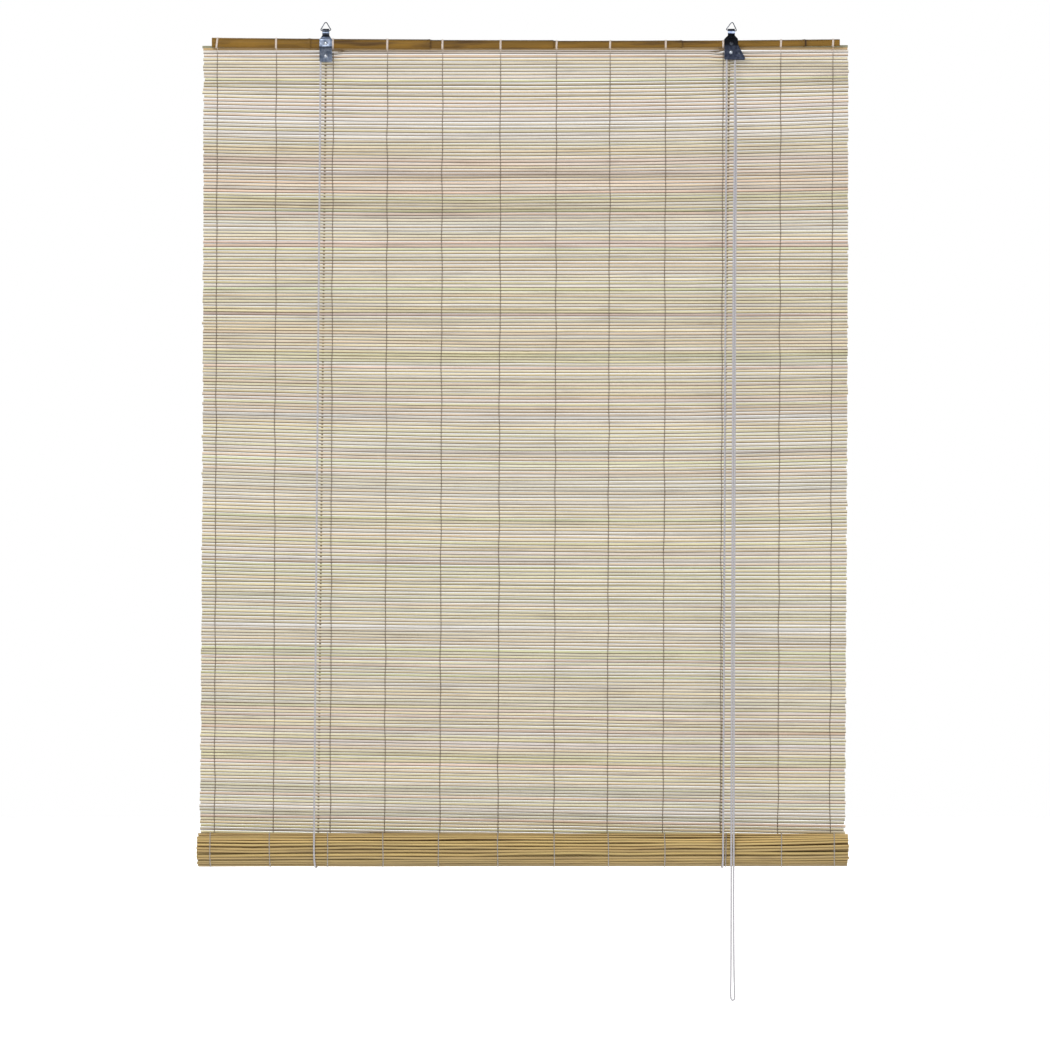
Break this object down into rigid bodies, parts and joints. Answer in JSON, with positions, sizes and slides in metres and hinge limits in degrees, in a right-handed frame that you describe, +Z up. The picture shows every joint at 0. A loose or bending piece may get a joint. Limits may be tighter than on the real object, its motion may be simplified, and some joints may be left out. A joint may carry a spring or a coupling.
{
  "type": "bamboo roll-up blind",
  "caption": "Woven bamboo slat blind on a cane header, part lowered, rolled up from the foot by looped lift cords through a wheel and a cord lock, hung from wire rings.",
  "frame": {"origin": "midway between the two hanging rings, on the line where hooks bear under their tops, above the header cane's axis", "axes": "+X to the right along the header as seen from the room, +Z up, -Y to the front, where the roll and the pull cord hang"},
  "size_m": [0.9082, 0.0571, 1.3639],
  "materials": {
    "bamboo_slat": "split bamboo, unvarnished, colour varying from slat to slat",
    "batten_wood": "plain softwood",
    "cane": "whole bamboo cane, smooth olive brown skin with darker knuckles",
    "warp_thread": "fine twisted cotton",
    "lift_cord": "round braided cord, off-white",
    "galvanised_steel": "dull galvanised",
    "blued_steel": "dark blue-black plating",
    "wheel_plastic": "moulded off-white",
    "cam_brass": "dull"
  },
  "bodies": {
    "header": {"cam_pin": "blued_steel", "cross_cord": "lift_cord", "edge_slats": "bamboo_slat", "header_cane": "cane", "left_axle": "galvanised_steel", "left_clamp_rivet": "galvanised_steel", "left_front_cord": "lift_cord", "left_rear_cord": "lift_cord", "left_strap": "galvanised_steel", "left_tie": "lift_cord", "lock_axle": "blued_steel", "lock_clamp_rivet": "blued_steel", "lock_cord": "lift_cord", "lock_strap": "blued_steel", "mat_slats_01": "bamboo_slat", "mat_slats_02": "bamboo_slat", "mat_slats_03": "bamboo_slat", "mat_slats_04": "bamboo_slat", "mat_slats_05": "bamboo_slat", "mat_slats_06": "bamboo_slat", "pull_cord": "lift_cord", "right_front_cord": "lift_cord", "right_rear_cord": "lift_cord", "right_tie": "lift_cord", "warp_thread_01": "warp_thread", "warp_thread_02": "warp_thread", "warp_thread_03": "warp_thread", "warp_thread_04": "warp_thread", "warp_thread_05": "warp_thread", "warp_thread_06": "warp_thread", "warp_thread_07": "warp_thread", "warp_thread_08": "warp_thread", "warp_thread_09": "warp_thread", "warp_thread_10": "warp_thread", "warp_thread_11": "warp_thread", "warp_thread_12": "warp_thread"},
    "lift_loops": {"left_roll_cord": "lift_cord", "right_roll_cord": "lift_cord"},
    "roll": {"rolled_mat": "bamboo_slat", "roll_core": "batten_wood"},
    "left_wheel": {"left_wheel": "wheel_plastic"},
    "lock_wheel": {"lock_wheel": "wheel_plastic"},
    "lock_cam": {"lock_cam": "cam_brass"},
    "left_ring": {"left_ring": "galvanised_steel"},
    "right_ring": {"right_ring": "blued_steel"}
  },
  "joints": [
    {"name": "roll_lift", "type": "slide", "parent": "header", "child": "lift_loops", "axis": [0, 0, 1], "range_m": [0, 0.9], "deforming": ["mat_slats_01", "mat_slats_02", "mat_slats_03", "mat_slats_04", "mat_slats_05", "mat_slats_06", "warp_thread_01", "warp_thread_02", "warp_thread_03", "warp_thread_04", "warp_thread_05", "warp_thread_06", "warp_thread_07", "warp_thread_08", "warp_thread_09", "warp_thread_10", "warp_thread_11", "warp_thread_12", "left_front_cord", "right_front_cord", "left_rear_cord", "right_rear_cord"]},
    {"name": "roll_spin", "type": "hinge", "parent": "lift_loops", "child": "roll", "pos_m": [-0.00893, -0.01375, -1.15263], "axis": [1, 0, 0], "continuous": true},
    {"name": "left_wheel_spin", "type": "hinge", "parent": "header", "child": "left_wheel", "pos_m": [-0.28292, -0.00285, -0.04609], "axis": [0, 1, 0], "continuous": true},
    {"name": "lock_wheel_spin", "type": "hinge", "parent": "header", "child": "lock_wheel", "pos_m": [0.28222, 0, -0.04104], "axis": [0, 1, 0], "continuous": true},
    {"name": "cam_swing", "type": "hinge", "parent": "header", "child": "lock_cam", "pos_m": [0.29412, 0, -0.0427], "axis": [0, -1, 0], "range_deg": [0, 25]},
    {"name": "left_ring_swing", "type": "hinge", "parent": "header", "child": "left_ring", "pos_m": [-0.28292, 0, -0.01041], "axis": [1, 0, 0], "range_deg": [-60, 60]},
    {"name": "right_ring_swing", "type": "hinge", "parent": "header", "child": "right_ring", "pos_m": [0.28292, 0, -0.01041], "axis": [0.9945, 0, -0.1045], "range_deg": [-60, 60]}
  ],
  "couplings": [
    {"joint": "roll_spin", "follows": "roll_lift", "rad_per_m": -43.29},
    {"joint": "left_wheel_spin", "follows": "roll_lift", "rad_per_m": 281.69},
    {"joint": "lock_wheel_spin", "follows": "roll_lift", "rad_per_m": 338.98}
  ]
}
